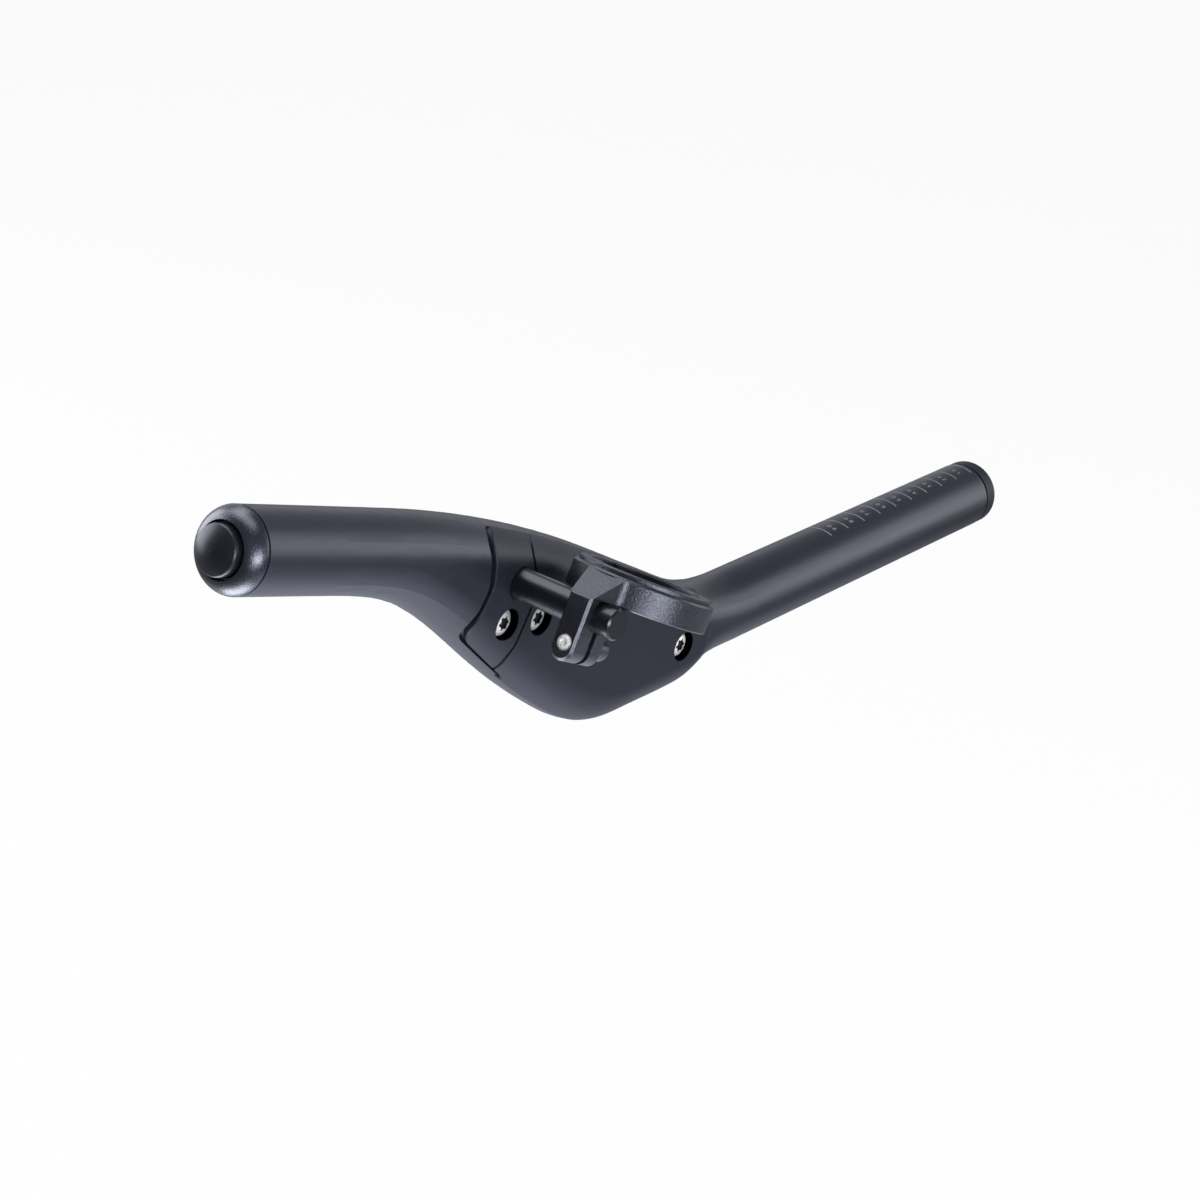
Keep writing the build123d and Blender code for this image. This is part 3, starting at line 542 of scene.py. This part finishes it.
class EXTENSION_OT_scale(bpy.types.Operator):
    """Printed length scale on top of the rear tube: thin marks with plain numbers between them"""
    bl_idname = "extension.scale"
    bl_label = "Print the scale"

    def execute(self, context):
        scale = context.scene.extension_scale
        radius = TUBE_RADIUS + scale.lift
        mesh = bmesh.new()

        def on_tube(x, angle):
            return mesh.verts.new((x, -radius * math.sin(angle), radius * math.cos(angle)))

        for k in range(scale.count):
            self.print_mark(mesh, scale, on_tube, k)
        for k in range(scale.count - 1):
            self.print_number(context, mesh, scale, on_tube, k)
        bmesh.ops.recalc_face_normals(mesh, faces=mesh.faces)
        for face in mesh.faces:
            centre = face.calc_center_median()
            if face.normal.dot(Vector((0, centre.y, centre.z))) < 0:
                face.normal_flip()
        data = bpy.data.meshes.new("scale_print")
        mesh.to_mesh(data)
        mesh.free()
        piece = bpy.data.objects.new("scale_print", data)
        context.scene.collection.objects.link(piece)
        material, shader, pen = new_material("scale_ink")
        patch = grain(pen, 2500)
        feed(pen, shader, {
            "Base Color": blend(pen, patch, dimmed(scale.ink, 0.8), scale.ink),
            "Roughness": 0.55 + (patch - 0.5) * 0.2,
        })
        data.materials.append(material)
        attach(piece, "extension")
        return {"FINISHED"}

    def print_mark(self, mesh, scale, on_tube, k):
        """One mark across the top of the tube."""
        x = scale.first + k * scale.pitch
        rows = []
        for i in range(MARK_STEPS + 1):
            angle = -scale.inner_angle + (scale.inner_angle + scale.outer_angle) * i / MARK_STEPS
            rows.append((on_tube(x - scale.width / 2, angle), on_tube(x + scale.width / 2, angle)))
        for (a, b), (c, d) in zip(rows[:-1], rows[1:]):
            mesh.faces.new((a, b, d, c))

    def print_number(self, context, mesh, scale, on_tube, k):
        """One number, laid round the tube after its mark."""
        curve = bpy.data.curves.new("scale_number", "FONT")
        curve.body = str((k + 1) * NUMBER_STEP)
        curve.size = scale.digit * FONT_SIZE_PER_DIGIT
        curve.align_x = "CENTER"
        curve.space_character = NUMBER_SPACING
        curve.resolution_u = NUMBER_CURVE_STEPS
        text = bpy.data.objects.new("scale_number", curve)
        context.scene.collection.objects.link(text)
        context.view_layer.update()
        flat = bpy.data.meshes.new_from_object(text.evaluated_get(context.evaluated_depsgraph_get()))
        start = scale.first + k * scale.pitch + scale.digit_step - scale.digit / 2
        points = [on_tube(start + v.co.y, v.co.x / TUBE_RADIUS - scale.digit_angle) for v in flat.vertices]
        for polygon in flat.polygons:
            mesh.faces.new([points[i] for i in polygon.vertices])
        bpy.data.objects.remove(text)
        bpy.data.curves.remove(curve)
        bpy.data.meshes.remove(flat)


class EXTENSION_OT_stage(bpy.types.Operator):
    """Pale floor, soft boxes, sky and the camera"""
    bl_idname = "extension.stage"
    bl_label = "Set the stage"

    def execute(self, context):
        stage = context.scene.extension_stage
        self.lay_floor(context, stage)
        self.hang_sky(context, stage)
        for name, box in SOFT_BOXES.items():
            self.soft_box(context, name, **box)
        self.set_camera(context, stage)
        context.scene.view_settings.view_transform = "Standard"
        return {"FINISHED"}

    def lay_floor(self, context, stage):
        mesh = bmesh.new()
        bmesh.ops.create_grid(mesh, x_segments=1, y_segments=1, size=FLOOR_REACH)
        data = bpy.data.meshes.new("floor")
        mesh.to_mesh(data)
        mesh.free()
        floor = bpy.data.objects.new("floor", data)
        floor.location = (0, 0, stage.floor_height)
        context.scene.collection.objects.link(floor)
        material = bpy.data.materials.new("pale_floor")
        material.use_nodes = True
        tree = material.node_tree
        tree.nodes.clear()
        pen = Shade(tree)
        seen, mirrored, through = ray_kinds(pen)
        # Painted light: a glowing pool on the floor round POOL_MIDDLE, fading with distance, that only the
        # part's gloss sees
        away = pen.make("ShaderNodeVectorMath", {"operation": "DISTANCE"},
                        {0: place(pen), 1: POOL_MIDDLE}, out="Value")
        pool = pen.maths("MAXIMUM", POOL_LEVEL - away * POOL_FADE, POOL_LEAST)
        dim = pen.make("ShaderNodeBsdfDiffuse", {}, {"Color": (*dimmed(stage.floor_colour, FLOOR_DIM), 1)})
        pale = pen.make("ShaderNodeBsdfDiffuse", {}, {"Color": (*stage.floor_colour, 1)})
        white = pen.make("ShaderNodeEmission", {}, {"Color": WHITE, "Strength": 1.0})
        pool_glow = pen.make("ShaderNodeEmission", {}, {"Color": POOL_TINT, "Strength": 1.0})
        show = (seen + through) * FLOOR_WHITE + mirrored * pool
        surface = mixed(pen, show, mixed(pen, seen, dim, pale), mixed(pen, mirrored, white, pool_glow))
        tree.links.new(surface.socket, tree.nodes.new("ShaderNodeOutputMaterial").inputs["Surface"])
        data.materials.append(material)

    def hang_sky(self, context, stage):
        world = bpy.data.worlds.new("studio")
        context.scene.world = world
        world.use_nodes = True
        tree = world.node_tree
        tree.nodes.clear()
        pen = Shade(tree)
        seen, mirrored, through = ray_kinds(pen)
        toward = pen.make("ShaderNodeTexCoord", out="Generated")
        height = along(pen, "Z", toward)
        front = pen.make("ShaderNodeVectorMath", {"operation": "DOT_PRODUCT"},
                         {0: toward, 1: SKY_FRONT}, out="Value")
        level = pen.maths("MAXIMUM", height, front * SKY_FRONT_GAIN - SKY_FRONT_START)
        tone = pen.make("ShaderNodeValToRGB", {"stops": SKY_STOPS}, {"Fac": level})
        sky = pen.make("ShaderNodeBackground", {}, {"Color": tone, "Strength": stage.sky})
        white = pen.make("ShaderNodeBackground", {}, {"Color": WHITE, "Strength": 1.0})
        surface = mixed(pen, seen + through + mirrored * SKY_MIRRORED_WHITE, sky, white)
        tree.links.new(surface.socket, tree.nodes.new("ShaderNodeOutputWorld").inputs["Surface"])

    def soft_box(self, context, name, aim, toward, distance, size, watts):
        data = bpy.data.lights.new(name, "AREA")
        data.shape = "RECTANGLE"
        data.size, data.size_y = size
        data.energy = watts
        lamp = bpy.data.objects.new(name, data)
        lamp.visible_camera = False
        lamp.location = Vector(aim) + Vector(toward).normalized() * distance
        lamp.rotation_euler = (Vector(aim) - lamp.location).to_track_quat("-Z", "Y").to_euler()
        context.scene.collection.objects.link(lamp)

    def set_camera(self, context, stage):
        data = bpy.data.cameras.new("photo_camera")
        data.sensor_width = SENSOR_WIDTH
        data.sensor_fit = "HORIZONTAL"
        data.lens = stage.lens
        data.clip_start = CAMERA_CLIP
        camera = bpy.data.objects.new("photo_camera", data)
        camera.location = stage.camera_place
        camera.rotation_euler = Euler(stage.camera_turn, "XYZ")
        context.scene.collection.objects.link(camera)
        context.scene.camera = camera


class EXTENSION_PT_panel(bpy.types.Panel):
    """Lists the pieces and the stage"""
    bl_idname = "EXTENSION_PT_panel"
    bl_label = "Handlebar Extension"
    bl_space_type = "VIEW_3D"
    bl_region_type = "UI"
    bl_category = "Extension"

    def draw(self, context):
        for operator in OPERATORS:
            self.layout.operator(operator.bl_idname)
        for name in GROUPS:
            box = self.layout.box()
            owner = getattr(context.scene, name)
            for setting in owner.__annotations__:
                box.prop(owner, setting)


GROUPS = {
    "extension_finish": ExtensionFinish,
    "extension_scale": ExtensionScale,
    "extension_stage": ExtensionStage,
}
OPERATORS = (
    EXTENSION_OT_tube,
    EXTENSION_OT_covers,
    EXTENSION_OT_bracket,
    EXTENSION_OT_rod,
    EXTENSION_OT_fasteners,
    EXTENSION_OT_plug,
    EXTENSION_OT_inside,
    EXTENSION_OT_scale,
    EXTENSION_OT_stage,
)


def register():
    for name, group in GROUPS.items():
        bpy.utils.register_class(group)
        setattr(bpy.types.Scene, name, bpy.props.PointerProperty(type=group))
    for operator in OPERATORS:
        bpy.utils.register_class(operator)
    bpy.utils.register_class(EXTENSION_PT_panel)


def unregister():
    bpy.utils.unregister_class(EXTENSION_PT_panel)
    for operator in reversed(OPERATORS):
        bpy.utils.unregister_class(operator)
    for name, group in GROUPS.items():
        delattr(bpy.types.Scene, name)
        bpy.utils.unregister_class(group)


def main():
    register()
    bpy.ops.extension.tube()
    bpy.ops.extension.covers()
    bpy.ops.extension.bracket()
    bpy.ops.extension.rod()
    bpy.ops.extension.fasteners()
    bpy.ops.extension.plug()
    bpy.ops.extension.inside()
    bpy.ops.extension.scale()
    bpy.ops.extension.stage()


if __name__ == "__main__":
    main()
